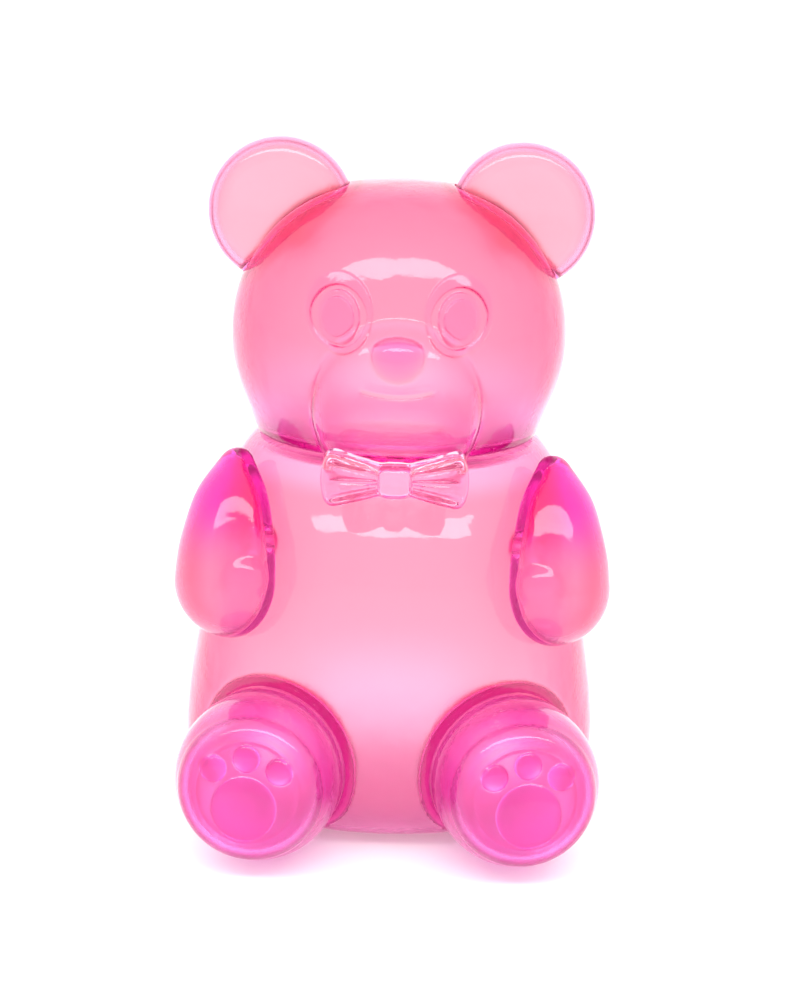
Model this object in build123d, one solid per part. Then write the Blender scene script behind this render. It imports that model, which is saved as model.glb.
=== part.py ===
"""Seated bear vinyl art toy: hollow rotocast pieces joined by press-in flange plugs.

Millimetres, +Z up, the face looks along -Y. The origin is under the middle of the
bounding box, on the floor plane. Shapes are first built with the neck axis on Z and
moved back by NECK_Y when they are written.
"""
import math
import os

from build123d import *

# ---------------------------------------------------------------- driving dimensions
WALL = 2.6             # cast wall of the torso and head
LIMB_WALL = 2.4        # cast wall of ears, arms and legs
GAP = 0.3              # running gap between pieces that turn on one another
FIT = 0.05             # radial slack of pieces that are pressed together for good
NECK_Y = 10.5          # where the neck axis stands behind the middle of the box

# torso: height, half width, half depth
TORSO = [
    (0.0, 45.5, 32.0),
    (2.0, 51.5, 40.0),
    (6.0, 56.4, 46.0),
    (12.0, 59.8, 50.5),
    (20.0, 61.5, 53.5),
    (30.0, 61.3, 54.8),
    (42.0, 60.0, 54.6),
    (55.0, 58.0, 53.8),
    (70.0, 55.8, 52.7),
    (80.0, 54.2, 51.8),
    (87.0, 52.9, 50.5),
    (92.0, 51.9, 48.7),
    (96.0, 51.0, 46.3),
    (100.0, 49.9, 43.9),
    (104.0, 48.3, 42.3),
    (109.0, 45.4, 41.3),
    (114.0, 41.0, 40.6),
]
NECK_Z = TORSO[-1][0]
NECK_PLUG_R = 28.0
NECK_FLANGE_R = 31.5
NECK_BORE_R = 24.5

# head: height, half width, half depth
HEAD = [
    (NECK_Z + GAP, 41.0, 40.6),
    (120.0, 43.2, 42.0),
    (126.0, 45.6, 43.4),
    (132.0, 47.6, 44.7),
    (138.0, 48.8, 45.4),
    (144.0, 49.1, 45.5),
    (150.0, 48.7, 45.0),
    (156.0, 47.5, 43.9),
    (163.0, 45.0, 41.6),
    (169.0, 41.8, 38.6),
    (175.0, 37.3, 34.4),
    (180.0, 31.8, 29.2),
    (184.0, 25.2, 23.0),
    (186.8, 17.4, 15.8),
    (188.0, 9.0, 8.0),
]
MUZZLE_C = (0.0, -37.0, 130.5)
MUZZLE_R = (24.4, 17.6, 27.0)
NOSE_C = (0.0, -50.3, 144.4)
NOSE_R = (7.2, 5.0, 6.8)
MOUTH_Z = 135.0
MOUTH_HALF = 9.5
MOUTH_DEPTH = 0.45
MOUTH_W = 0.8
EYE_X = 16.6
EYE_Z = 155.0
EYE_R = (5.8, 7.2)
PUPIL_R = (4.4, 5.3)
BROW_R = (9.4, 10.8)
BROW_W = 2.6
BROW_DROP = 1.2        # how far the brow ring stands above the middle of the eye
RELIEF = 0.9           # height of the raised eye and brow details

# ears: discs that face forward, seated on a sloping flat in the head
EAR_C = (35.0, 0.0, 178.8)
EAR_R = 21.2
EAR_HALF = 7.0
EAR_ROUND = 6.2
EAR_SEAT_SLOPE = 38.0  # angle of the seat below the horizontal, falling outward
EAR_SEAT_DROP = 8.5    # seat below the middle of the ear
DISH_R = 13.5
DISH_DEPTH = 2.4
EAR_PLUG_R = 3.4
EAR_FLANGE_R = 4.6
EAR_BORE_R = 1.6

# arms: pear shapes against a flat on the shoulder
ARM_SEAT = (36.9, -36.9, 75.0)
ARM_YAW = 45.0         # how far the flat turns toward the front
ARM_TILT = 12.0        # how far the flat looks up
HAND = (45.9, -32.0, 76.0)
ARM_DIR = (-0.03, 0.29, 0.955)
ARM_ABOVE = 38.3       # hand middle to the tip of the shoulder
ARM_TIP_R = 6.6        # rounding of the shoulder tip
ARM_TIP_SPREAD = 28.0  # angle of the side where it leaves the tip rounding
ARM_SIDE = [           # distance above the hand, radius
    (26.0, 11.6),
    (18.0, 14.3),
    (8.5, 16.3),
]
HAND_R = 16.9
ARM_PIVOT_UP = 12.0    # plug middle above the middle of the hand
ARM_PIVOT_IN = 5.5     # and from the arm's own axis toward the chest
ARM_PLUG_R = 4.4
ARM_FLANGE_R = 6.0
ARM_BORE_R = 2.4
PALM_R = 8.8
PALM_OUT = 9.6         # middle of the palm dome from the middle of the hand
PALM_DIR = (-0.32, -0.88, 0.34)

# legs: barrels turned about their own axis, set in round sockets
LEG_ROOT = (33.0, -24.0, 21.6)
LEG_SPLAY = 6.5
LEG_TILT = 6.0
LEG_PROFILE = [        # distance from the root, radius
    (0.0, 17.2),
    (9.0, 20.5),
    (18.0, 22.8),
    (28.0, 23.7),
    (37.0, 23.1),
    (44.0, 20.9),
]
SOLE_R = 15.8
SOLE_ROUND = (3.2, 1.8)  # middle of the sole's rounded edge: out and back from it
LEG_LENGTH = 50.0
LEG_PLUG_R = 9.0
LEG_FLANGE_R = 11.4
LEG_BORE_R = 6.4
PAD_R = 9.3
PAD_AT = (0.8, -4.6)
TOE_R = 3.9
TOES = [(-9.0, 6.4), (0.4, 9.6), (9.8, 6.4)]
PAD_RISE = 1.3

# bow tie
BOW_Z = 111.8
BOW_HALF = 20.6
BOW_END_H = 16.6
BOW_NECK_H = 7.0
BOW_FRONT = -56.4
BOW_BACK = -40.0
BOW_ROUND = 2.2
KNOT_W = 9.8
KNOT_H = 9.4
KNOT_FRONT = -58.0
KNOT_CORNER_R = 2.6
KNOT_FRONT_R = 2.0
BOW_POINT = 2.0        # how far the middle of a wing's end stands out
PLEAT_R = 0.6
PLEAT_X = 11.5         # middle of a pleat from the knot
PLEAT_L = 13.0
PLEAT_FAN = 13.0       # angle between neighbouring pleats
CHIN_R = 49.3          # the chin stays inside this radius up to CHIN_Z
CHIN_Z = 120.8
CHIN_SLACK = 0.6       # extra room for the chin behind the bow tie
BOW_PIN_R = 2.4
BOW_PIN_L = 12.0
BOW_PIN_DROP = 3.0     # pin below the middle of the bow

FLANGE_T = 2.2         # thickness of every plug flange
MIN_STEP = 0.8         # least height between two sections of a tower
PUPIL_RISE = 0.5       # height of the pupil above the eye
ROOT_DEPTH = 0.5       # how far a plug's stem starts inside its own piece
OVER = 1.0             # how far a cutting tool runs past what it cuts
HALF_SPACE = 160.0     # side of the box that stands for one side of a plane
TINY = 1e-6            # below this a direction has no level part


# ---------------------------------------------------------------- helpers
def section_at(stations, height):
    """The half width and half depth of a tower at one height."""
    for (z0, a0, b0), (z1, a1, b1) in zip(stations, stations[1:]):
        if z0 <= height <= z1:
            share = (height - z0) / (z1 - z0)
            return a0 + share * (a1 - a0), b0 + share * (b1 - b0)
    raise ValueError(height)


def tower(stations, grow=0.0, trim=0.0):
    """A smooth body through elliptical sections, grown by a skin and cut at both ends."""
    low = stations[0][0] + trim
    high = stations[-1][0] - trim
    heights = [z for z, _, _ in stations if low + MIN_STEP < z < high - MIN_STEP]
    sections = []
    for z in [low, *heights, high]:
        half_x, half_y = section_at(stations, z)
        sections.append(Pos(0, 0, z) * Ellipse(half_x + grow, half_y + grow))
    return loft(sections)


def turned(outline):
    """A body of revolution about Z from edges drawn as (radius, height)."""
    return revolve(Plane.XZ * make_face(outline), axis=Axis.Z)


def ellipsoid(centre, radii):
    """An ellipsoid with its axes along X, Y and Z."""
    return Pos(*centre) * scale(Sphere(1.0), by=tuple(radii))


def frame_at(point, direction):
    """A plane at a point whose Z looks along a direction and whose X is level."""
    d = Vector(*direction).normalized()
    level = Vector(0, 0, 1).cross(d)
    if level.length < TINY:
        level = Vector(1, 0, 0)
    return Plane(origin=point, x_dir=level.normalized(), z_dir=d)


def plug(plane, stem_r, flange_r, reach):
    """A stem and its flange, pointing along the plane's own -Z."""
    stem = Pos(0, 0, -reach / 2) * Cylinder(stem_r, reach)
    flange = Pos(0, 0, -reach - FLANGE_T / 2) * Cylinder(flange_r, FLANGE_T)
    body = stem + flange
    return plane * body


def bore(plane, radius, inward, outward):
    """A hole along a plane's Z, from inward below it to outward above it."""
    length = inward + outward
    return plane * (Pos(0, 0, (outward - inward) / 2) * Cylinder(radius, length))


def block_above(plane):
    """A big box that fills the side a plane's Z looks to."""
    return plane * (Pos(0, 0, HALF_SPACE / 2) * Box(HALF_SPACE, HALF_SPACE, HALF_SPACE))


def closed(points):
    """The closed polygon through some points, as a list of edges."""
    return [Line(a, b) for a, b in zip(points, points[1:] + points[:1])]


def other_side(part):
    """The same piece for the other side of the figure."""
    return mirror(part, about=Plane.YZ)


def unit(yaw, tilt):
    """A direction in the +X, -Y quarter: yaw from +X toward -Y, tilt up."""
    y, t = math.radians(yaw), math.radians(tilt)
    return (math.cos(y) * math.cos(t), -math.sin(y) * math.cos(t), math.sin(t))


# ---------------------------------------------------------------- shared frames
arm_plane = frame_at(ARM_SEAT, unit(ARM_YAW, ARM_TILT))
leg_plane = frame_at(LEG_ROOT, unit(90.0 - LEG_SPLAY, LEG_TILT))
seat_angle = math.radians(EAR_SEAT_SLOPE)
ear_up = (math.sin(seat_angle), 0.0, math.cos(seat_angle))
ear_seat = tuple(c - EAR_SEAT_DROP * u for c, u in zip(EAR_C, ear_up))
ear_plane = frame_at(ear_seat, ear_up)
ear_foot = block_above(ear_plane)


def arm_pivot():
    """The middle of the arm plug on the shoulder flat."""
    point = Vector(*HAND) + Vector(*ARM_DIR).normalized() * ARM_PIVOT_UP
    local = arm_plane.to_local_coords(point)
    return arm_plane.from_local_coords(Vector(local.X - ARM_PIVOT_IN, local.Y, 0))


arm_plug_plane = Plane(origin=arm_pivot(), x_dir=arm_plane.x_dir, z_dir=arm_plane.z_dir)


# ---------------------------------------------------------------- ear
def ear_disc(grow):
    """The round outline of the ear, grown on every side."""
    disc = Cylinder(EAR_R + grow, 2 * (EAR_HALF + grow))
    disc = fillet(disc.edges(), EAR_ROUND + grow)
    return Pos(*EAR_C) * Rot(90, 0, 0) * disc


def make_ear():
    """The left ear: a hollow dished disc with a flat foot and a plug."""
    dish_ball_r = (DISH_R ** 2 + DISH_DEPTH ** 2) / (2 * DISH_DEPTH)
    dish_y = -EAR_HALF - dish_ball_r + DISH_DEPTH
    dish = Pos(EAR_C[0], dish_y, EAR_C[2]) * Sphere(dish_ball_r)
    dish_wall = Pos(EAR_C[0], dish_y, EAR_C[2]) * Sphere(dish_ball_r + LIMB_WALL)
    outer = ear_disc(0.0) - dish
    hollow = ear_disc(-LIMB_WALL) - dish_wall
    hollow = hollow & Pos(*[LIMB_WALL * u for u in ear_up]) * ear_foot
    outer = outer & ear_foot
    reach = WALL + GAP
    body = outer - hollow + plug(ear_plane, EAR_PLUG_R, EAR_FLANGE_R, reach)
    return body - bore(ear_plane, EAR_BORE_R, reach + FLANGE_T + OVER, LIMB_WALL + OVER)


# ---------------------------------------------------------------- head
def raised(outline, height):
    """A raised detail that follows the front of the head."""
    skin = tower(HEAD, grow=height)
    prism = Rot(90, 0, 0) * extrude(outline, amount=HALF_SPACE)
    return skin & prism


def upright(half_width, half_height):
    """An upright oval."""
    return Rot(0, 0, 90) * Ellipse(half_height, half_width)


def face_details():
    """Both eyes with pupils and brow rings."""
    parts = []
    for side in (-1, 1):
        at = Pos(side * EYE_X, EYE_Z)
        brow_at = Pos(side * EYE_X, EYE_Z + BROW_DROP)
        ring = upright(*BROW_R) - upright(BROW_R[0] - BROW_W, BROW_R[1] - BROW_W)
        parts.append(raised(at * upright(*EYE_R), RELIEF))
        parts.append(raised(at * upright(*PUPIL_R), RELIEF + PUPIL_RISE))
        parts.append(raised(brow_at * ring, RELIEF))
    return parts


def chin_room():
    """The space the muzzle may fill, so the head can turn over the bow tie."""
    low = HEAD[0][0]
    top = MUZZLE_C[2] + MUZZLE_R[2] + OVER
    reach = MUZZLE_R[1] - MUZZLE_C[1] + OVER
    flare = CHIN_Z + reach - CHIN_R
    return turned(closed([(0, low), (CHIN_R, low), (CHIN_R, CHIN_Z), (reach, flare), (reach, top), (0, top)]))


def seat_cuts():
    """For the left ear: the wall kept around its seat, and what is cut away for it."""
    deep = Pos(*[-WALL * u for u in ear_up]) * ear_foot
    cup = ear_disc(FIT + WALL) & deep
    seat = ear_disc(FIT) & ear_foot
    hole = bore(ear_plane, EAR_PLUG_R + FIT, WALL + OVER, OVER)
    return cup, seat, hole


def make_head():
    """The head shell with muzzle, nose, eyes, ear seats and the neck opening."""
    cup, seat, hole = seat_cuts()
    room = chin_room()
    muzzle = ellipsoid(MUZZLE_C, MUZZLE_R) & room
    body = tower(HEAD) + muzzle + ellipsoid(NOSE_C, NOSE_R)
    for detail in face_details():
        body = body + detail
    hollow = tower(HEAD, grow=-WALL, trim=WALL) - cup - other_side(cup)
    body = body - hollow
    muzzle_hollow = ellipsoid(MUZZLE_C, [r - WALL for r in MUZZLE_R]) & Pos(0, 0, WALL) * room
    body = body - (muzzle_hollow & Cylinder(CHIN_R - WALL, 4 * HALF_SPACE))
    for piece in (seat, hole):
        body = body - piece - other_side(piece)
    front_skin = ellipsoid(MUZZLE_C, MUZZLE_R) - ellipsoid(MUZZLE_C, [r - MOUTH_DEPTH for r in MUZZLE_R])
    slot = Pos(0, MUZZLE_C[1] - MUZZLE_R[1], MOUTH_Z) * Box(2 * MOUTH_HALF, MUZZLE_R[1], MOUTH_W)
    return body - (front_skin & slot) - Pos(0, 0, NECK_Z) * Cylinder(NECK_PLUG_R + GAP, 4 * WALL)


# ---------------------------------------------------------------- arm
def arm_body(grow):
    """The pear shape of the arm before it is cut by the shoulder flat."""
    direction = Vector(*ARM_DIR).normalized()
    tip_r, hand_r = ARM_TIP_R + grow, HAND_R + grow
    tip_at = ARM_ABOVE - ARM_TIP_R
    spread = math.radians(ARM_TIP_SPREAD)
    join = (tip_r * math.cos(spread), tip_at + tip_r * math.sin(spread))
    mid = math.radians((90.0 + ARM_TIP_SPREAD) / 2)
    side = [(r + grow, s) for s, r in ARM_SIDE]
    corner = hand_r * math.sqrt(0.5)
    tip_mid = (tip_r * math.cos(mid), tip_at + tip_r * math.sin(mid))
    leave = (math.sin(spread), -math.cos(spread))
    outline = [
        ThreePointArc((0, tip_at + tip_r), tip_mid, join),
        Spline(join, *side, (hand_r, 0), tangents=[leave, (0, -1)]),
        ThreePointArc((hand_r, 0), (corner, -corner), (0, -hand_r)),
        Line((0, -hand_r), (0, tip_at + tip_r)),
    ]
    return frame_at(HAND, direction) * turned(outline)


def make_arm():
    """The left arm: hollow pear with a palm dome and a shoulder plug."""
    palm_at = Vector(*HAND) + Vector(*PALM_DIR).normalized() * PALM_OUT
    outer = arm_body(0.0) + Pos(*palm_at) * Sphere(PALM_R)
    outer = outer & block_above(arm_plane.offset(GAP))
    hollow = arm_body(-LIMB_WALL) & block_above(arm_plane.offset(GAP + LIMB_WALL))
    start = arm_plug_plane.offset(GAP + ROOT_DEPTH)
    reach = GAP + ROOT_DEPTH + WALL + GAP
    body = outer - hollow + plug(start, ARM_PLUG_R, ARM_FLANGE_R, reach)
    return body - bore(start, ARM_BORE_R, reach + FLANGE_T + OVER, LIMB_WALL + OVER)


# ---------------------------------------------------------------- leg
def leg_body(grow):
    """The barrel of the leg, from its root to the edge of the sole."""
    low, high = -grow, LEG_LENGTH + grow
    side = [(r + grow, s) for s, r in LEG_PROFILE]
    side[0] = (side[0][0], low)
    toe_edge = (SOLE_R + grow, high)
    turn = (SOLE_R + SOLE_ROUND[0] + grow, LEG_LENGTH - SOLE_ROUND[1] + grow)
    outline = [
        Line((0, low), side[0]),
        Spline(*side),
        ThreePointArc(side[-1], turn, toe_edge),
        Line(toe_edge, (0, high)),
        Line((0, high), (0, low)),
    ]
    return leg_plane * turned(outline)


def make_leg():
    """The left leg: hollow barrel with a sole, pads and a hip plug."""
    body = leg_body(0.0) - leg_body(-LIMB_WALL)
    pads = [(PAD_AT, PAD_R)] + [(toe, TOE_R) for toe in TOES]
    for (across, up), radius in pads:
        dome = scale(Sphere(1.0), by=(radius, radius, PAD_RISE))
        body = body + leg_plane * (Pos(across, up, LEG_LENGTH) * dome)
    reach = GAP + WALL + GAP
    start = leg_plane.offset(ROOT_DEPTH)
    body = body + plug(start, LEG_PLUG_R, LEG_FLANGE_R, reach + ROOT_DEPTH)
    return body - bore(leg_plane, LEG_BORE_R, reach + FLANGE_T + OVER, LIMB_WALL + OVER)


# ---------------------------------------------------------------- torso
def make_torso():
    """The torso shell with shoulder flats, hip sockets and the neck plug."""
    outer = tower(TORSO)
    hollow = tower(TORSO, grow=-WALL, trim=WALL)
    shoulder = block_above(arm_plane)
    shoulder_in = block_above(arm_plane.offset(-WALL))
    socket = leg_body(GAP)
    cup = leg_body(GAP + WALL)
    arm_hole = bore(arm_plug_plane, ARM_PLUG_R + GAP, WALL + OVER, OVER)
    leg_hole = bore(leg_plane, LEG_PLUG_R + GAP, WALL + 2 * OVER, OVER)
    outer = outer - shoulder - other_side(shoulder)
    for piece in (shoulder_in, cup):
        hollow = hollow - piece - other_side(piece)
    body = outer - hollow
    for piece in (socket, arm_hole, leg_hole):
        body = body - piece - other_side(piece)
    reach = GAP + WALL + GAP
    stem = Pos(0, 0, NECK_Z + reach / 2) * Cylinder(NECK_PLUG_R, reach)
    flange = Pos(0, 0, NECK_Z + reach + FLANGE_T / 2) * Cylinder(NECK_FLANGE_R, FLANGE_T)
    opening = Pos(0, 0, NECK_Z) * Cylinder(NECK_BORE_R, 8 * WALL)
    body = body + stem + flange - opening
    pin_at = Pos(0, BOW_BACK, BOW_Z - BOW_PIN_DROP) * Rot(90, 0, 0)
    return body - pin_at * Cylinder(BOW_PIN_R + FIT, 2 * BOW_PIN_L)


# ---------------------------------------------------------------- bow tie
def make_bow():
    """The bow tie: two pleated wings and a knot on a pin through the chest."""
    half = BOW_END_H / 2
    neck = BOW_NECK_H / 2
    point = BOW_HALF - BOW_POINT
    corners = [(0, -neck), (point, -half), (BOW_HALF, 0), (point, half), (0, neck)]
    depth = BOW_BACK - BOW_FRONT
    wing = extrude(make_face(closed(corners)), amount=depth)
    front_edges = wing.faces().sort_by(Axis.Z)[-1].edges().filter_by(lambda e: e.center().X > ROOT_DEPTH)
    wing = fillet(front_edges, BOW_ROUND)
    pleat = Pos(PLEAT_X, 0, depth) * Rot(0, 90, 0) * Cylinder(PLEAT_R, PLEAT_L)
    for angle in (-PLEAT_FAN, 0.0, PLEAT_FAN):
        wing = wing - Rot(0, 0, angle) * pleat
    knot_depth = BOW_BACK - KNOT_FRONT
    knot = Pos(0, 0, knot_depth / 2) * Box(KNOT_W, KNOT_H, knot_depth)
    knot = fillet(knot.edges().filter_by(Axis.Z), KNOT_CORNER_R)
    knot = fillet(knot.faces().sort_by(Axis.Z)[-1].edges(), KNOT_FRONT_R)
    flat = wing + other_side(wing) + knot
    bow = Pos(0, BOW_BACK, BOW_Z) * Rot(90, 0, 0) * flat
    chin = Pos(0, 0, NECK_Z - OVER + BOW_HALF / 2) * Cylinder(CHIN_R + CHIN_SLACK, BOW_HALF)
    bow = bow - tower(TORSO, grow=FIT) - chin
    pin = Pos(0, BOW_BACK + OVER, BOW_Z - BOW_PIN_DROP) * Rot(90, 0, 0) * Cylinder(BOW_PIN_R, BOW_PIN_L)
    return bow + pin


# ---------------------------------------------------------------- files
def main():
    """Build every piece and write one STEP file for each."""
    os.makedirs("parts", exist_ok=True)
    ear, arm, leg = make_ear(), make_arm(), make_leg()
    pieces = {
        "torso": make_torso(),
        "head": make_head(),
        "left_ear": ear,
        "right_ear": other_side(ear),
        "left_arm": arm,
        "right_arm": other_side(arm),
        "left_leg": leg,
        "right_leg": other_side(leg),
        "bow_tie": make_bow(),
    }
    for name, piece in pieces.items():
        solid = Pos(0, NECK_Y, 0) * piece
        print(name, len(solid.solids()), round(solid.volume), solid.bounding_box())
        export_step(solid, f"parts/{name}.step")


main()
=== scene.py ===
import math

import bmesh
import bpy
import numpy as np
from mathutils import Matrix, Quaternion, Vector


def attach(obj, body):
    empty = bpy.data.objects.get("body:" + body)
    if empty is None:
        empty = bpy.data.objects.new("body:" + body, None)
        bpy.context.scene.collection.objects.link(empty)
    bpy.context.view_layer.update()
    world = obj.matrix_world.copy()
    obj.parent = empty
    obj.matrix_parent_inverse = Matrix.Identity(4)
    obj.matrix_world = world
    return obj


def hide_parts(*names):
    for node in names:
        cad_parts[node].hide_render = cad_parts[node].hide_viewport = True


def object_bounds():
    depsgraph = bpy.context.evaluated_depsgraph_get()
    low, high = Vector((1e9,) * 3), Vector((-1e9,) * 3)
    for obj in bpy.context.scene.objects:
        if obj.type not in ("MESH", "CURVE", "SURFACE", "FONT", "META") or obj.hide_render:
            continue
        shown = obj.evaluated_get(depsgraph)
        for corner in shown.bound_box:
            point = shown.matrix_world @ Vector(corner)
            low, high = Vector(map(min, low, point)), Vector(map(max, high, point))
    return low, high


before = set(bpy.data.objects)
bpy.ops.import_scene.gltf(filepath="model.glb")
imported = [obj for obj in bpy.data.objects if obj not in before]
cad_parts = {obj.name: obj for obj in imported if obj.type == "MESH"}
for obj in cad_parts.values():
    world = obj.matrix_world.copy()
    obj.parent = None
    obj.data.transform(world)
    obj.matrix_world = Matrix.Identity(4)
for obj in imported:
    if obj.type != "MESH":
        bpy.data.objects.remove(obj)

CAD_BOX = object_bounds()

# ------------------------------------------------------------------ dimensions, mm
# Lengths are in millimetres with the neck axis on Z; NECK_Y moves them into the frame.
MM = 0.001
NECK_Y = 10.5
WALL = 2.6
LIMB_WALL = 2.4
GAP = 0.3
FIT = 0.1

NECK_Z = 114.0
NECK_PLUG_R = 28.0
NECK_FLANGE_R = 31.5
NECK_BORE_R = 24.5
FLANGE_T = 2.2

TORSO = [
    (0.0, 45.5, 32.0),
    (2.0, 51.5, 40.0),
    (6.0, 56.4, 46.0),
    (12.0, 59.8, 50.5),
    (20.0, 61.5, 53.5),
    (30.0, 61.3, 54.8),
    (42.0, 60.0, 54.6),
    (55.0, 58.0, 53.8),
    (70.0, 55.8, 52.7),
    (80.0, 54.2, 51.8),
    (87.0, 52.9, 50.5),
    (92.0, 51.9, 48.7),
    (96.0, 51.0, 46.3),
    (100.0, 49.9, 43.9),
    (104.0, 48.3, 42.3),
    (109.0, 45.4, 41.3),
    (114.0, 41.0, 40.6),
]
TORSO_MID = 45.0
HEAD = [
    (NECK_Z + GAP, 41.0, 40.6),
    (120.0, 43.2, 42.0),
    (126.0, 45.6, 43.4),
    (132.0, 47.6, 44.7),
    (138.0, 48.8, 45.4),
    (144.0, 49.1, 45.5),
    (150.0, 48.7, 45.0),
    (156.0, 47.5, 43.9),
    (163.0, 45.0, 41.6),
    (169.0, 41.8, 38.6),
    (175.0, 37.3, 34.4),
    (180.0, 31.8, 29.2),
    (184.0, 25.2, 23.0),
    (186.8, 17.4, 15.8),
    (188.0, 9.0, 8.0),
]
HEAD_MID = 140.0
MUZZLE_C, MUZZLE_R = (0.0, -37.0, 130.5), (24.4, 17.6, 27.0)
NOSE_C, NOSE_R = (0.0, -50.3, 144.4), (7.2, 5.0, 6.8)
EYE_X, EYE_Z = 16.6, 155.0
EYE_R, PUPIL_R, BROW_R, BROW_DROP = (5.8, 7.2), (4.4, 5.3), (9.4, 10.8), 1.2
EYE_RISE, PUPIL_RISE, BROW_RISE, EDGE = 0.9, 0.7, 0.95, 0.42
BROW_THIN, BROW_SWELL = 0.75, 1.1
BROW_STRENGTH, BROW_STRENGTH_RISE, BROW_STRENGTH_LOW = 0.7, 0.6, 0.45
MOUTH_Z, MOUTH_HALF, MOUTH_SAG, MOUTH_DEPTH, MOUTH_W = 135.2, 9.5, 0.012, 0.45, 0.45
NOSE_TAPER = 0.035

EAR_C = (35.0, 0.0, 178.8)
EAR_R, EAR_HALF, EAR_ROUND = 21.2, 7.0, 6.2
EAR_SEAT_SLOPE, EAR_SEAT_DROP = math.radians(38.0), 8.5
DISH_R, DISH_DEPTH = 13.5, 2.4
EAR_PLUG_R, EAR_FLANGE_R, EAR_BORE_R = 3.4, 4.6, 1.6

ARM_SEAT = (36.9, -36.9, 75.0)
ARM_YAW, ARM_TILT = 45.0, 12.0
HAND = (45.9, -32.0, 76.0)
ARM_DIR = (-0.03, 0.29, 0.955)
ARM_ABOVE, ARM_TIP_R, ARM_TIP_SPREAD, HAND_R = 38.3, 6.6, 28.0, 16.9
ARM_SIDE = [(26.0, 11.6), (18.0, 14.3), (8.5, 16.3)]
ARM_PIVOT_UP, ARM_PIVOT_IN = 12.0, 5.5
ARM_PLUG_R, ARM_FLANGE_R, ARM_BORE_R = 4.4, 6.0, 2.4
PALM_DIR, PALM_OUT, PALM_R = (-0.32, -0.88, 0.34), 9.6, 8.8

LEG_ROOT = (33.0, -24.0, 21.6)
LEG_SPLAY, LEG_TILT, LEG_LENGTH = 6.5, 6.0, 50.0
LEG_PROFILE = [(0.0, 17.2), (9.0, 20.5), (18.0, 22.8), (28.0, 23.7), (37.0, 23.1), (44.0, 20.9)]
SOLE_R, SOLE_ROUND = 15.8, (3.2, 1.8)
LEG_PLUG_R, LEG_FLANGE_R, LEG_BORE_R = 9.0, 11.4, 6.4
PAD_RISE, PAD_EDGE, SOLE_LINE_R, SOLE_LINE, SOLE_LINE_W = 1.3, 0.15, 14.4, 0.3, 0.5
PADS = [(0.8, -4.6, 9.3), (-9.0, 6.4, 3.9), (0.4, 9.6, 3.9), (9.8, 6.4, 3.9)]

BOW_Z, BOW_HALF, BOW_END_H, BOW_NECK_H = 111.8, 20.6, 16.6, 7.0
BOW_FRONT, BOW_BACK, KNOT_FRONT = -56.4, -40.0, -58.0
KNOT_W, KNOT_H, BOW_PIN_R, BOW_PIN_DROP = 9.8, 9.4, 2.4, 3.0
BOW_INSET, BOW_END_BEND = 0.15, 0.03
PLEAT_ANGLES, PLEAT_DEPTH, PLEAT_W, PLEAT_FADE = (-13.0, 0.0, 13.0), 0.8, 0.75, (17.0, 6.0)
PLEAT_ROOT = 3.0  # how far past the middle plane the pleats of a wing would meet
PILLOW_MID, PILLOW_HALF, PILLOW_RISE = 12.0, 11.0, 0.9
CHIN_R, CHIN_Z, CHIN_SLACK, CHIN_SLOPE = 49.3, 120.8, 0.6, 1.2

# Sizes of the roundings at edges and of the fillets where shapes meet
ROD_EDGE, SKIN_EDGE = 0.5, 0.35
EAR_DISH_EDGE, EAR_SEAT_EDGE, EAR_INSIDE = 1.6, 0.8, 1.0
EAR_POCKET_EDGE, EAR_CUP_EDGE = 0.4, 0.8
HEAD_RIM, MUZZLE_EDGE, MUZZLE_FILLET, MUZZLE_INSIDE, NOSE_FILLET = 1.4, 2.0, 0.9, 3.0, 0.6
PALM_FILLET, ARM_FLAT_EDGE = 0.7, 3.5
LEG_ROOT_EDGE, LEG_INSIDE = 0.8, 1.2
TORSO_RIM, SHOULDER_EDGE = 1.6, 2.2
SOCKET_FLOOR_EDGE, SOCKET_RIM, SOCKET_INSIDE = 0.8, 0.9, 1.2
BOW_EDGE, BOW_OUTLINE, KNOT_EDGE, KNOT_FILLET, BOW_TRIM = 3.0, 3.2, 3.4, 0.7, 0.5


# ------------------------------------------------------------------ fields
def smin(a, b, k):
    """The smaller of two distances, with a fillet of size k where they meet."""
    h = np.maximum(k - np.abs(a - b), 0.0) / k
    return np.minimum(a, b) - h * h * k * 0.25


def smax(a, b, k):
    """The larger of two distances, with an edge rounded over k where they meet."""
    return -smin(-a, -b, k)


def spline_table(xs, ys, count=1500):
    """A natural cubic spline through the stations, sampled densely."""
    xs, ys = np.asarray(xs, float), np.asarray(ys, float)
    n = len(xs)
    h = np.diff(xs)
    m = np.eye(n)
    rhs = np.zeros(n)
    for i in range(1, n - 1):
        m[i, i - 1:i + 2] = h[i - 1], 2 * (h[i - 1] + h[i]), h[i]
        rhs[i] = 6 * ((ys[i + 1] - ys[i]) / h[i] - (ys[i] - ys[i - 1]) / h[i - 1])
    c = np.linalg.solve(m, rhs)
    t = np.linspace(xs[0], xs[-1], count)
    i = np.clip(np.searchsorted(xs, t) - 1, 0, n - 2)
    a, b = xs[i + 1] - t, t - xs[i]
    v = (c[i] * a ** 3 + c[i + 1] * b ** 3) / (6 * h[i])
    v += (ys[i] / h[i] - c[i] * h[i] / 6) * a + (ys[i + 1] / h[i] - c[i + 1] * h[i] / 6) * b
    return t, v


def polar_table(points):
    """Radius against angle for an outline of (radius from the axis, height) points."""
    p = np.asarray(points, float)
    angle = np.arctan2(p[:, 1], p[:, 0])
    order = np.argsort(angle)
    return angle[order], np.hypot(p[:, 0], p[:, 1])[order]


def polar_field(rho, height, table):
    """How far a point lies outside an outline, measured from the outline's middle."""
    angle = np.arctan2(height, rho)
    return np.sqrt(rho * rho + height * height) - np.interp(angle, *table).astype(np.float32)


MIN_SLOPE = 0.35


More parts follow.
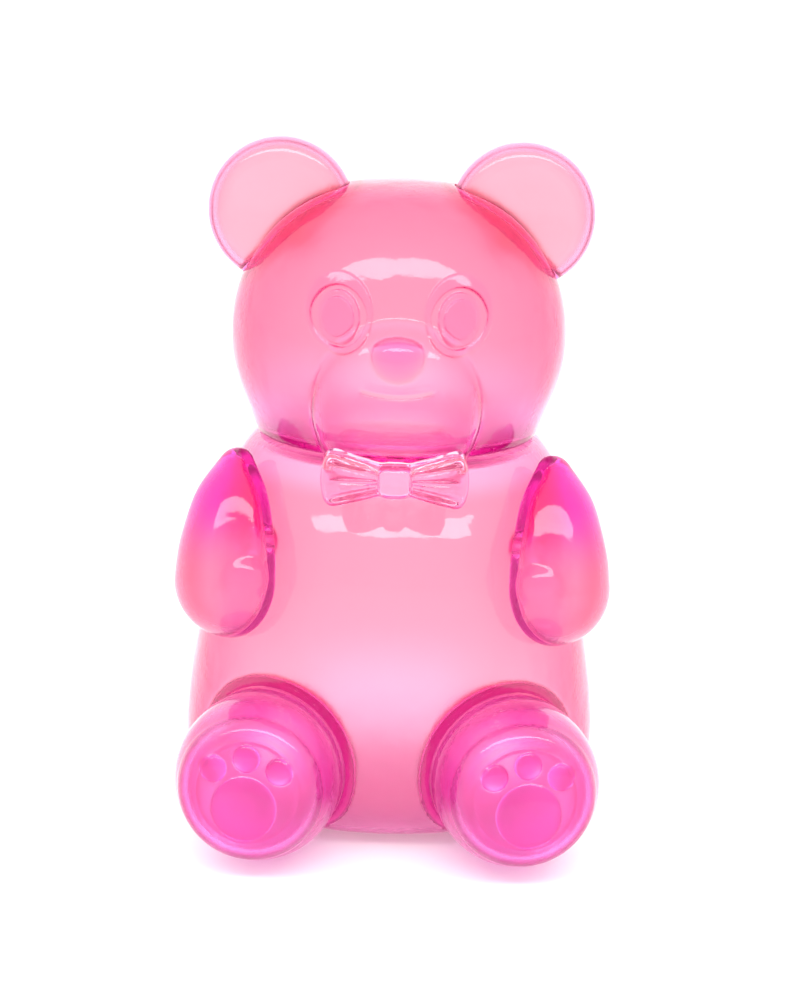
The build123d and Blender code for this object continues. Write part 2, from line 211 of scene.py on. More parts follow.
def even(f, h):
    """The field divided by its slope, so that it reads as a distance near the surface."""
    gx, gy, gz = np.gradient(f, h)
    return f / np.maximum(np.sqrt(gx * gx + gy * gy + gz * gz), MIN_SLOPE)


def unit(yaw, tilt):
    """A direction turned from +X toward -Y by the yaw and raised by the tilt, in degrees."""
    y, t = math.radians(yaw), math.radians(tilt)
    return np.array((math.cos(y) * math.cos(t), -math.sin(y) * math.cos(t), math.sin(t)))


def normal(v):
    """The same direction at length 1."""
    v = np.asarray(v, float)
    return v / np.linalg.norm(v)


def along(g, origin, direction):
    """Distance of every grid point along a direction from an origin."""
    return sum((g[i] - origin[i]) * np.float32(direction[i]) for i in range(3))


def off_axis(g, origin, direction):
    """Distance of every grid point from an axis."""
    s = along(g, origin, direction)
    sq = sum((g[i] - origin[i]) ** 2 for i in range(3))
    return np.sqrt(np.maximum(sq - s * s, 0.0))


def rod(g, origin, direction, radius, low, high, k=ROD_EDGE):
    """A cylinder along a direction, with slightly rounded edges."""
    s = along(g, origin, direction)
    r = off_axis(g, origin, direction)
    return smax(r - radius, np.abs(s - (low + high) / 2) - (high - low) / 2, k)


def ellipsoid(g, centre, radii):
    """Distance, nearly exact close to the surface, from an ellipsoid."""
    q = [(g[i] - centre[i]) / radii[i] for i in range(3)]
    k0 = np.sqrt(q[0] ** 2 + q[1] ** 2 + q[2] ** 2)
    k1 = np.sqrt(sum((q[i] / radii[i]) ** 2 for i in range(3)))
    return k0 * (k0 - 1.0) / np.maximum(k1, 1e-4)


def step(x, width):
    """1 well below zero, 0 well above, smooth across the width."""
    t = np.clip(0.5 - x / width, 0.0, 1.0)
    return t * t * (3.0 - 2.0 * t)


# ------------------------------------------------------------------ shared shapes
def tower_tables(stations, middle, below, above):
    """Depth over width against height, and the front outline, of the torso or head.

    The extra points below and above carry the outline on past the flat ends.
    """
    ratio = spline_table([z for z, a, b in stations], [b / a for z, a, b in stations])
    outline = below + [(a, z - middle) for z, a, b in stations] + above
    angle, radius = polar_table(outline)
    return ratio, spline_table(angle, radius, 3000)


ARM_MID, LEG_MID = 8.0, 24.0  # where the outlines are seen from, along arm and leg
TORSO_TABLES = tower_tables(
    TORSO, TORSO_MID, [(0.0, -52.0), (14.0, -51.5), (28.0, -49.5)], [(33.0, 74.0), (18.0, 80.0)])
HEAD_TABLES = tower_tables(
    HEAD, HEAD_MID, [(10.0, -46.0), (26.0, -37.0)], [(0.0, 48.3)])


def tower_field(g, h, tables, middle):
    """Distance from the torso or head as if it had no flat ends."""
    ratio, profile = tables
    k = np.interp(g[2], *ratio).astype(np.float32)
    rho = np.sqrt(g[0] ** 2 + (g[1] / k) ** 2)
    return even(polar_field(rho, g[2] - np.float32(middle) + 0 * rho, profile), h)


def arm_table():
    """The pear outline of the arm about a point a little above the hand's middle."""
    spread = math.radians(ARM_TIP_SPREAD)
    tip = ARM_ABOVE - ARM_TIP_R
    ball = [(HAND_R * math.cos(t), HAND_R * math.sin(t))
            for t in np.linspace(-math.pi / 2, 0, 60)]
    join = (ARM_TIP_R * math.cos(spread), tip + ARM_TIP_R * math.sin(spread))
    side = [(0.0, HAND_R)] + sorted(ARM_SIDE) + [(join[1], join[0])]
    t, r = spline_table([p[0] for p in side], [p[1] for p in side], 200)
    side = [(rr, tt) for tt, rr in zip(t[1:-1], r[1:-1])]
    cap = [(ARM_TIP_R * math.cos(a), tip + ARM_TIP_R * math.sin(a))
           for a in np.linspace(spread, math.pi / 2, 40)]
    return polar_table([(r, z - ARM_MID) for r, z in ball + side + cap])


def leg_table():
    """The outline of the leg's barrel about a point inside it."""
    t, r = spline_table([p[0] for p in LEG_PROFILE], [p[1] for p in LEG_PROFILE], 200)
    side = [(rr, tt) for tt, rr in zip(t, r)]
    a, m = side[-1], (SOLE_R + SOLE_ROUND[0], LEG_LENGTH - SOLE_ROUND[1])
    end = (SOLE_R, LEG_LENGTH)
    bend = []
    for s in np.linspace(0.02, 1.0, 60):
        w0, w1, w2 = (1 - s) ** 2, 2 * s * (1 - s), s * s
        c = [2 * m[i] - (a[i] + end[i]) / 2 for i in range(2)]
        bend.append(tuple(w0 * a[i] + w1 * c[i] + w2 * end[i] for i in range(2)))
    sole = [(r, LEG_LENGTH) for r in np.linspace(SOLE_R, 0, 60)[1:]]
    root = [(r, -14.0) for r in np.linspace(0, 12.0, 10)]
    return polar_table([(r, z - LEG_MID) for r, z in root + side + bend + sole])


ARM_TABLE = arm_table()
LEG_TABLE = leg_table()
ARM_N = unit(ARM_YAW, ARM_TILT)
ARM_A = normal(ARM_DIR)
LEG_N = unit(90.0 - LEG_SPLAY, LEG_TILT)
EAR_UP = np.array((math.sin(EAR_SEAT_SLOPE), 0.0, math.cos(EAR_SEAT_SLOPE)))
EAR_SEAT = np.array(EAR_C) - EAR_SEAT_DROP * EAR_UP
ARM_LEVEL = normal(np.cross((0.0, 0.0, 1.0), ARM_N))
ARM_PIVOT = np.array(HAND) + ARM_A * ARM_PIVOT_UP - ARM_LEVEL * ARM_PIVOT_IN
ARM_PIVOT = ARM_PIVOT - ARM_N * np.dot(ARM_PIVOT - np.array(ARM_SEAT), ARM_N)
LEG_SIDE = normal(np.cross((0.0, 0.0, 1.0), LEG_N))
LEG_UP = np.cross(LEG_N, LEG_SIDE)


def leg_field(g, h, side=1):
    """Distance from a leg's barrel, and how far out along the leg each point is."""
    flip = np.array((side, 1.0, 1.0))
    origin, direction = np.array(LEG_ROOT) * flip, LEG_N * flip
    s = along(g, origin, direction)
    barrel = even(polar_field(off_axis(g, origin, direction), s - LEG_MID, LEG_TABLE), h)
    return barrel, s


def ear_disc(g, side=1):
    """Distance from a round-edged disc."""
    q = np.sqrt((g[0] - side * EAR_C[0]) ** 2 + (g[2] - EAR_C[2]) ** 2)
    dx = q - (EAR_R - EAR_ROUND)
    dy = np.abs(g[1]) - (EAR_HALF - EAR_ROUND) + 0 * q
    inside = np.minimum(np.maximum(dx, dy), 0.0)
    outside = np.sqrt(np.maximum(dx, 0.0) ** 2 + np.maximum(dy, 0.0) ** 2)
    return inside + outside - EAR_ROUND


# ------------------------------------------------------------------ pieces
def ear(g, h):
    """The ear: a hollow disc with a dished front, on a plug and flange."""
    s = along(g, EAR_SEAT, EAR_UP)
    ball = (DISH_R ** 2 + DISH_DEPTH ** 2) / (2 * DISH_DEPTH)
    dish = [g[0] - EAR_C[0], g[1] + EAR_HALF + ball - DISH_DEPTH, g[2] - EAR_C[2]]
    dish = np.sqrt(dish[0] ** 2 + dish[1] ** 2 + dish[2] ** 2) - ball
    disc = smax(ear_disc(g), -dish, EAR_DISH_EDGE)
    body = smax(disc, -s + FIT, EAR_SEAT_EDGE)
    cavity = smax(disc + LIMB_WALL, LIMB_WALL - s, EAR_INSIDE)
    reach = WALL + GAP
    stem = rod(g, EAR_SEAT, EAR_UP, EAR_PLUG_R, -reach, 1.0)
    flange = rod(g, EAR_SEAT, EAR_UP, EAR_FLANGE_R, -reach - FLANGE_T, -reach)
    hole = rod(g, EAR_SEAT, EAR_UP, EAR_BORE_R, -reach - FLANGE_T - 2, LIMB_WALL + 1)
    body = np.minimum(np.minimum(body, stem), flange)
    return body, np.minimum(cavity, hole)


def oval(dx, dz, radii):
    """Signed distance, roughly, from an upright oval."""
    return (np.sqrt((dx / radii[0]) ** 2 + (dz / radii[1]) ** 2) - 1.0) * radii[0]


def face_relief(p):
    """Height of the eyes, brows and mouth over the plain head, for points in mm."""
    rise = np.zeros(len(p))
    for side in (-1, 1):
        dx, dz = p[:, 0] - side * EYE_X, p[:, 2] - EYE_Z
        bz = dz - BROW_DROP
        brow = oval(dx, bz, BROW_R)
        thick = BROW_THIN + BROW_SWELL * np.clip(bz / BROW_R[1], 0.0, 1.0)
        ring = np.abs(brow + thick) - thick
        fade = BROW_STRENGTH + BROW_STRENGTH_RISE * bz / BROW_R[1]
        fade = np.clip(fade, BROW_STRENGTH_LOW, 1.0)
        rise += EYE_RISE * step(oval(dx, dz, EYE_R), EDGE)
        rise += PUPIL_RISE * step(oval(dx, dz, PUPIL_R), EDGE)
        rise += BROW_RISE * fade * step(ring, EDGE)
    past = np.maximum(np.abs(p[:, 0]) - MOUTH_HALF, 0.0)
    line = np.sqrt((p[:, 2] - MOUTH_Z - MOUTH_SAG * p[:, 0] ** 2) ** 2 + past ** 2)
    return rise - MOUTH_DEPTH * np.exp(-(line / MOUTH_W) ** 2)


# Boxes round the fine details, open to the front: back plane, middle height, half height, half width
EYES_BOX = (-24.0, EYE_Z, 14.0, 28.0)
MOUTH_BOX = (-44.0, MOUTH_Z, 3.5, 12.0)
SOLE_BAND, SOLE_MARGIN = 1.2, 1.0


def face_area(p):
    """Where the face's fine details are."""
    found = np.zeros(len(p), bool)
    for back, z, half_height, half_width in (EYES_BOX, MOUTH_BOX):
        in_height = np.abs(p[:, 2] - z) < half_height
        found |= (p[:, 1] < back) & in_height & (np.abs(p[:, 0]) < half_width)
    return found


def sole_relief(p):
    """Height of the pads over the plain sole, for points in mm."""
    d = p - np.array(LEG_ROOT)
    across, high = d @ LEG_SIDE, d @ LEG_UP
    rise = np.zeros(len(p))
    for px, pz, r in PADS:
        q2 = ((across - px) ** 2 + (high - pz) ** 2) / r ** 2
        rise = np.maximum(rise, PAD_RISE * np.sqrt(np.clip(1.0 - q2, 0.0, 1.0)))
    rim = np.sqrt(across ** 2 + high ** 2) - SOLE_LINE_R
    return rise - SOLE_LINE * np.exp(-(rim / SOLE_LINE_W) ** 2)


def sole_area(p):
    """Where the sole's pads are."""
    d = p - np.array(LEG_ROOT)
    out = d @ LEG_N
    near_axis = (d ** 2).sum(1) - out ** 2 < (SOLE_R + SOLE_MARGIN) ** 2
    return (out > LEG_LENGTH - SOLE_BAND) & near_axis


def head(g, h):
    """The head without its fine relief, which is carved into the finished mesh."""
    base = tower_field(g, h, HEAD_TABLES, HEAD_MID)
    base = smax(base, (NECK_Z + GAP) - g[2] + 0 * base, HEAD_RIM)
    muzzle = ellipsoid(g, MUZZLE_C, MUZZLE_R)
    turn = np.sqrt(g[0] ** 2 + g[1] ** 2)
    chin = (turn - CHIN_R - np.maximum(g[2] - CHIN_Z, 0.0)) / CHIN_SLOPE
    muzzle = smax(muzzle, chin, MUZZLE_EDGE)
    muzzle = smax(muzzle, (NECK_Z + GAP) - g[2] + 0 * base, MUZZLE_EDGE)
    body = smin(base, muzzle, MUZZLE_FILLET)
    inner = smin(base, muzzle, MUZZLE_INSIDE) + WALL
    dz = g[2] - NOSE_C[2]
    nose = ellipsoid([g[0] * (1.0 + NOSE_TAPER * (-dz)), g[1], g[2]], NOSE_C, NOSE_R)
    body = smin(body, nose, NOSE_FILLET)
    cups = None
    for side in (1, -1):
        flip = np.array((side, 1.0, 1.0))
        s = along(g, EAR_SEAT * flip, EAR_UP * flip)
        disc = ear_disc(g, side)
        pocket = smax(disc - FIT, -s, EAR_POCKET_EDGE)
        hole = rod(g, EAR_SEAT * flip, EAR_UP * flip, EAR_PLUG_R + FIT, -WALL - 2, 2)
        body = np.maximum(body, -np.minimum(pocket, hole))
        cup = smax(disc - FIT - WALL, -s - WALL, EAR_CUP_EDGE)
        cups = cup if cups is None else np.minimum(cups, cup)
    cavity = smax(inner, -cups, EAR_CUP_EDGE)
    neck = rod(g, (0, 0, NECK_Z), (0, 0, 1), NECK_PLUG_R + GAP, -5.0, 2 * WALL)
    return body, np.minimum(cavity, neck)


def arm(g, h):
    """The arm: a hollow pear cut by the shoulder's plane, with a palm, a plug and a flange."""
    height = along(g, HAND, ARM_A) - ARM_MID
    pear = even(polar_field(off_axis(g, HAND, ARM_A), height, ARM_TABLE), h)
    palm = np.array(HAND) + normal(PALM_DIR) * PALM_OUT
    dome = np.sqrt(sum((g[i] - palm[i]) ** 2 for i in range(3))) - PALM_R
    s = along(g, ARM_SEAT, ARM_N)
    body = smax(smin(pear, dome, PALM_FILLET), GAP - s, ARM_FLAT_EDGE)
    cavity = smax(pear + LIMB_WALL, GAP + LIMB_WALL - s, ARM_FLAT_EDGE)
    reach = WALL + GAP
    stem = rod(g, ARM_PIVOT, ARM_N, ARM_PLUG_R, -reach, GAP + 1.0)
    flange = rod(g, ARM_PIVOT, ARM_N, ARM_FLANGE_R, -reach - FLANGE_T, -reach)
    hole = rod(g, ARM_PIVOT, ARM_N, ARM_BORE_R, -reach - FLANGE_T - 2, LIMB_WALL + 2)
    return np.minimum(np.minimum(body, stem), flange), np.minimum(cavity, hole)


def leg(g, h):
    """The leg without its pads: a hollow barrel on a plug and flange."""
    barrel, s = leg_field(g, h)
    body = smax(barrel, -s, LEG_ROOT_EDGE)
    cavity = smax(barrel + LIMB_WALL, LIMB_WALL - s, LEG_INSIDE)
    reach = GAP + WALL + GAP
    stem = rod(g, LEG_ROOT, LEG_N, LEG_PLUG_R, -reach, 1.0)
    flange = rod(g, LEG_ROOT, LEG_N, LEG_FLANGE_R, -reach - FLANGE_T, -reach)
    hole = rod(g, LEG_ROOT, LEG_N, LEG_BORE_R, -reach - FLANGE_T - 2, LIMB_WALL + 2)
    return np.minimum(np.minimum(body, stem), flange), np.minimum(cavity, hole)


def torso(g, h):
    """The torso: a hollow shell with shoulder flats, hip sockets and the neck ring."""
    base = tower_field(g, h, TORSO_TABLES, TORSO_MID)
    tall = g[2] + 0 * base
    base = smax(smax(base, -tall, TORSO_RIM), tall - NECK_Z, TORSO_RIM)
    cavity = base + WALL
    body = base
    for side in (1, -1):
        flip = np.array((side, 1.0, 1.0))
        s = along(g, ARM_SEAT * flip, ARM_N * flip)
        body = smax(body, s, SHOULDER_EDGE)
        cavity = smax(cavity, s + WALL, SHOULDER_EDGE)
    for side in (1, -1):
        flip = np.array((side, 1.0, 1.0))
        barrel, s = leg_field(g, h, side)
        socket = smax(barrel - GAP, -s - GAP, SOCKET_FLOOR_EDGE)
        body = smax(body, -socket, SOCKET_RIM)
        cavity = smax(cavity, -(socket - WALL), SOCKET_INSIDE)
        arm_hole = rod(g, ARM_PIVOT * flip, ARM_N * flip, ARM_PLUG_R + GAP, -WALL - 2, 2)
        leg_hole = rod(g, LEG_ROOT * flip, LEG_N * flip, LEG_PLUG_R + GAP, -WALL - 2, 1)
        body = np.maximum(body, -np.minimum(arm_hole, leg_hole))
    reach = GAP + WALL + GAP
    stem = rod(g, (0, 0, NECK_Z), (0, 0, 1), NECK_PLUG_R, -1.0, reach)
    flange = rod(g, (0, 0, NECK_Z), (0, 0, 1), NECK_FLANGE_R, reach, reach + FLANGE_T)
    body = np.minimum(np.minimum(body, stem), flange)
    hole = rod(g, (0, 0, NECK_Z), (0, 0, 1), NECK_BORE_R, -4 * WALL, 4 * WALL)
    pin = rod(g, (0, BOW_BACK, BOW_Z - BOW_PIN_DROP), (0, -1, 0), BOW_PIN_R + FIT, -8.0, 10.0)
    return body, np.minimum(np.minimum(cavity, hole), pin)


def bow(g, h):
    """The bow tie: two pleated wings and a knot, solid, with a pin into the chest."""
    x, z = np.abs(g[0]), g[2] - BOW_Z
    slope = (BOW_END_H - BOW_NECK_H) / 2 / (BOW_HALF - 2.0)
    edge = (np.abs(z) - BOW_NECK_H / 2 - slope * x) / math.sqrt(1 + slope * slope)
    end = x + BOW_END_BEND * z * z - BOW_HALF
    flat = smax(edge + BOW_INSET, end, BOW_OUTLINE) + 0 * g[1]
    pillow = PILLOW_RISE * np.clip(1.0 - ((x - PILLOW_MID) / PILLOW_HALF) ** 2, 0.0, 1.0)
    front = BOW_FRONT + PILLOW_RISE - pillow - g[1]
    angle = np.degrees(np.arctan2(z, np.maximum(x + PLEAT_ROOT, 0.1)))
    groove = 0.0
    for pleat in PLEAT_ANGLES:
        off = np.radians(angle - pleat) * (x + PLEAT_ROOT)
        groove = groove + PLEAT_DEPTH * np.exp(-(off / PLEAT_W) ** 2)
    groove = groove * step(x - PLEAT_FADE[0], PLEAT_FADE[1])
    wing = smax(flat, front + groove, BOW_EDGE)
    knot = smax(x - KNOT_W / 2, np.abs(z) - KNOT_H / 2 + 0 * g[1], KNOT_EDGE)
    knot = smax(knot, KNOT_FRONT - g[1], KNOT_EDGE)
    body = smin(wing, knot, KNOT_FILLET)
    chest = tower_field(g, h, TORSO_TABLES, TORSO_MID)
    chest = smax(chest, g[2] - NECK_Z + 0 * chest, TORSO_RIM)
    body = smax(body, FIT - chest, BOW_TRIM)
    radius = np.sqrt(g[0] ** 2 + g[1] ** 2) - CHIN_R - CHIN_SLACK + 0 * g[2]
    chin = np.maximum(radius, NECK_Z - 1.0 - g[2])
    body = smax(body, -chin, BOW_TRIM)
    pin = rod(g, (0, BOW_BACK, BOW_Z - BOW_PIN_DROP), (0, -1, 0), BOW_PIN_R, -4.0, 6.0)
    return np.minimum(body, pin), None


# ------------------------------------------------------------------ surface from a field
CORNERS = [(i, j, k) for k in (0, 1) for j in (0, 1) for i in (0, 1)]
EDGES = [(a, a[:axis] + (1,) + a[axis + 1:]) for axis in range(3) for a in CORNERS if not a[axis]]


def surface_nets(f):
    """Vertices in grid units and quads of the field's zero surface."""
    inside = f < 0
    n = np.array(f.shape) - 1
    count = np.zeros(n, np.uint8)
    for i in (0, 1):
        for j in (0, 1):
            for k in (0, 1):
                count += inside[i:i + n[0], j:j + n[1], k:k + n[2]]
    cells = np.argwhere((count > 0) & (count < 8))
    index = np.full(n, -1, np.int32)
    index[tuple(cells.T)] = np.arange(len(cells), dtype=np.int32)
    total = np.zeros((len(cells), 3))
    hits = np.zeros(len(cells))
    for a, b in EDGES:
        fa = f[tuple((cells + a).T)]
        fb = f[tuple((cells + b).T)]
        cross = (fa < 0) != (fb < 0)
        t = np.where(cross, fa / np.where(cross, fa - fb, 1.0), 0.0)
        point = np.array(a) + t[:, None] * (np.array(b) - np.array(a))
        total += np.where(cross[:, None], point, 0.0)
        hits += cross
    verts = cells + total / hits[:, None]
    quads = []
    for axis in range(3):
        u, v = (axis + 1) % 3, (axis + 2) % 3
        lo = [slice(1, -1)] * 3
        lo[axis] = slice(0, -1)
        hi = list(lo)
        hi[axis] = slice(1, None)
        a, b = inside[tuple(lo)], inside[tuple(hi)]
        at = np.argwhere(a != b)
        base = at.copy()
        base[:, u] += 1
        base[:, v] += 1
        du, dv = np.zeros(3, int), np.zeros(3, int)
        du[u], dv[v] = 1, 1
        quad = np.stack([index[tuple((base - o).T)] for o in (0 * du, du, du + dv, dv)], 1)
        solid_first = a[tuple(at.T)]
        quad[~solid_first] = quad[~solid_first][:, ::-1]
        quads.append(quad)
    return verts, np.concatenate(quads)


def sample(f, p):
    """The field at points in grid units, by trilinear interpolation."""
    p = np.clip(p, 0, np.array(f.shape) - 1.001)
    i = p.astype(np.int64)
    t = p - i
    out = 0.0
    for a in (0, 1):
        for b in (0, 1):
            for c in (0, 1):
                w = (t[:, 0] if a else 1 - t[:, 0]) * (t[:, 1] if b else 1 - t[:, 1])
                w = w * (t[:, 2] if c else 1 - t[:, 2])
                out = out + w * f[i[:, 0] + a, i[:, 1] + b, i[:, 2] + c]
    return out


# In grid steps: how far to look for the slope, and the farthest move in one go
PROBE, MAX_MOVE, SETTLE_STEPS, MIN_SLOPE_SQUARED = 0.5, 0.6, 3, 0.05
EASE = 0.5  # part of the way to the neighbours' middle


def settle(f, p):
    """Moves points onto the field's zero surface."""
    for _ in range(SETTLE_STEPS):
        rises = [sample(f, p + d) - sample(f, p - d) for d in np.eye(3) * PROBE]
        grad = np.stack(rises, 1) / (2 * PROBE)
        size = np.maximum((grad ** 2).sum(1), MIN_SLOPE_SQUARED)
        move = -(sample(f, p) / size)[:, None] * grad
        p = p + np.clip(move, -MAX_MOVE, MAX_MOVE)
    return p


def relax(p, quads):
    """Each point a little nearer to the middle of its neighbours."""
    a = quads.ravel()
    b = np.roll(quads, -1, axis=1).ravel()
    ends, starts = np.concatenate([a, b]), np.concatenate([b, a])
    n = len(p)
    count = np.bincount(ends, minlength=n)
    mean = np.stack([np.bincount(ends, p[starts, i], n) for i in range(3)], 1) / count[:, None]
    return p + EASE * (mean - p)


OUTSIDE_BAND = 0.6  # a vertex farther than this from the outer skin lies on the inside
ROUNDS = 2  # of evening out and settling back onto the surface


def build(make, low, high, h):
    """Samples a piece's field in a box and returns vertices in mm, quads and the inner mask."""
    low, high = np.array(low, float), np.array(high, float)
    n = np.ceil((high - low) / h).astype(int) + 1
    axes = [low[i] + h * np.arange(n[i]) for i in range(3)]
    g = [axes[0][:, None, None], axes[1][None, :, None], axes[2][None, None, :]]
    g = [a.astype(np.float32) for a in g]
    body, cavity = make(g, h)
    f = body if cavity is None else smax(body, -cavity, SKIN_EDGE)
    f = np.ascontiguousarray(np.broadcast_to(f, n)).astype(np.float32)
    verts, quads = surface_nets(f)
    for _ in range(ROUNDS):
        verts = settle(f, relax(verts, quads))
    inner = np.zeros(len(verts))
    if cavity is not None:
        full = np.broadcast_to(body, n)
        inner = (np.abs(sample(full, verts)) > OUTSIDE_BAND).astype(float)
    return low + verts * h, quads, inner


def new_mesh(name, verts, sizes, loops, inner):
    """A smooth-shaded mesh from arrays; inner is 1 on the inside, below 0 on raised relief."""
    mesh = bpy.data.meshes.new(name)
    mesh.vertices.add(len(verts))
    mesh.vertices.foreach_set("co", verts.astype(np.float32).ravel())
    mesh.loops.add(len(loops))
    mesh.loops.foreach_set("vertex_index", loops.astype(np.int32))
    mesh.polygons.add(len(sizes))
    starts = np.concatenate([[0], np.cumsum(sizes)[:-1]])
    mesh.polygons.foreach_set("loop_start", starts.astype(np.int32))
    mesh.polygons.foreach_set("use_smooth", np.ones(len(sizes), bool))
    mesh.update(calc_edges=True)
    skin = mesh.attributes.new("inner_skin", "FLOAT", "POINT")
    skin.data.foreach_set("value", np.clip(inner, 0.0, 1.0).astype(np.float32))
    pad = mesh.attributes.new("pad", "FLOAT", "POINT")
    pad.data.foreach_set("value", np.clip(-inner, 0.0, 1.0).astype(np.float32))
    return mesh


def read_mesh(mesh):
    """The arrays of a mesh: vertices, normals, face sizes, loops and the inner mask."""
    n = len(mesh.vertices)
    verts, normals, inner = np.zeros(3 * n), np.zeros(3 * n), np.zeros(n)
    mesh.vertices.foreach_get("co", verts)
    mesh.vertices.foreach_get("normal", normals)
    mesh.attributes["inner_skin"].data.foreach_get("value", inner)
    sizes, loops = np.zeros(len(mesh.polygons), np.int32), np.zeros(len(mesh.loops), np.int32)
    mesh.polygons.foreach_get("loop_total", sizes)
    mesh.loops.foreach_get("vertex_index", loops)
    return verts.reshape(-1, 3), normals.reshape(-1, 3), sizes, loops, inner


CARVE_ROUNDS, CARVE_EASE = 3, 0.6  # evening out of the split faces before the relief


def carve(verts, sizes, loops, inner, area, relief, cuts):
    """Splits the outer faces of an area finely and raises the relief on them."""
    mesh = new_mesh("carving", verts, sizes, loops, inner)
    wanted = area(verts) & (inner < 0.5)
    bm = bmesh.new()
    bm.from_mesh(mesh)
    bm.verts.ensure_lookup_table()
    edges = [e for e in bm.edges if wanted[e.verts[0].index] and wanted[e.verts[1].index]]
    bmesh.ops.subdivide_edges(bm, edges=edges, cuts=cuts, use_grid_fill=True)
    pair = np.array([(e.verts[0].index, e.verts[1].index) for e in bm.edges])
    bm.to_mesh(mesh)
    bm.free()
    mesh.update(calc_edges=True)
    verts, normals, sizes, loops, inner = read_mesh(mesh)
    near = (area(verts) & (inner < 0.5))[:, None]
    count = np.bincount(pair.ravel(), minlength=len(verts))
    for _ in range(CARVE_ROUNDS):
        total = np.zeros_like(verts)
        for a, b in ((0, 1), (1, 0)):
            for i in range(3):
                total[:, i] += np.bincount(pair[:, a], verts[pair[:, b], i], len(verts))
        mean = total / np.maximum(count, 1)[:, None]
        verts = np.where(near, verts + CARVE_EASE * (mean - verts), verts)
    rise = np.where(near[:, 0], relief(verts), 0.0)
    verts = verts + normals * rise[:, None]
    inner = np.where(rise > PAD_EDGE, -np.clip(rise / PAD_EDGE - 1.0, 0.0, 1.0), inner)
    bpy.data.meshes.remove(mesh)
    return verts, sizes, loops, inner


def to_object(name, verts, sizes, loops, inner, flip=False):
    """A mesh object in metres, in the row frame, kept inside the CAD model's box."""
    v = verts.copy()
    if flip:
        v[:, 0] *= -1.0
        sizes, loops = sizes[::-1], loops[::-1]
    v[:, 1] += NECK_Y
    v = np.clip(v * MM, *CAD_BOX)
    obj = bpy.data.objects.new(name, new_mesh(name, v, sizes, loops, inner))
    bpy.context.scene.collection.objects.link(obj)
    return obj


# ------------------------------------------------------------------ materials
PAINTED_GLOW = 0.035  # painted glow: emitted light standing in for the light that the slightly milky wall scatters toward the eye
LEG_PAINTED_GLOW = 0.06  # the same painted glow, stronger for the legs, whose castings are the deepest coloured
PAINTED_GLOW_PINK = (1.0, 0.06, 0.36, 1.0)
GLOSS, INSIDE_ROUGHNESS, VINYL_IOR = 0.06, 0.40, 1.5
GLOSS_LOW, GLOSS_HIGH = 0.6, 1.6  # times GLOSS, from the clearest to the haziest patch
MOTTLE_DARK, MOTTLE_SPAN = 0.965, (0.35, 0.65)
# Noises as scale, detail, roughness
MOTTLE, HAZE = (55.0, 3.0, 0.5), (240.0, 4.0, 0.6)
# Waves from slow to fine as noise, bump strength and height in metres
WAVES = [((38.0, 2.0, 0.45), 1.0, 0.0008), ((170.0, 2.0, 0.5), 1.0, 0.000096),
         ((900.0, 2.0, 0.5), 0.6, 0.000012)]


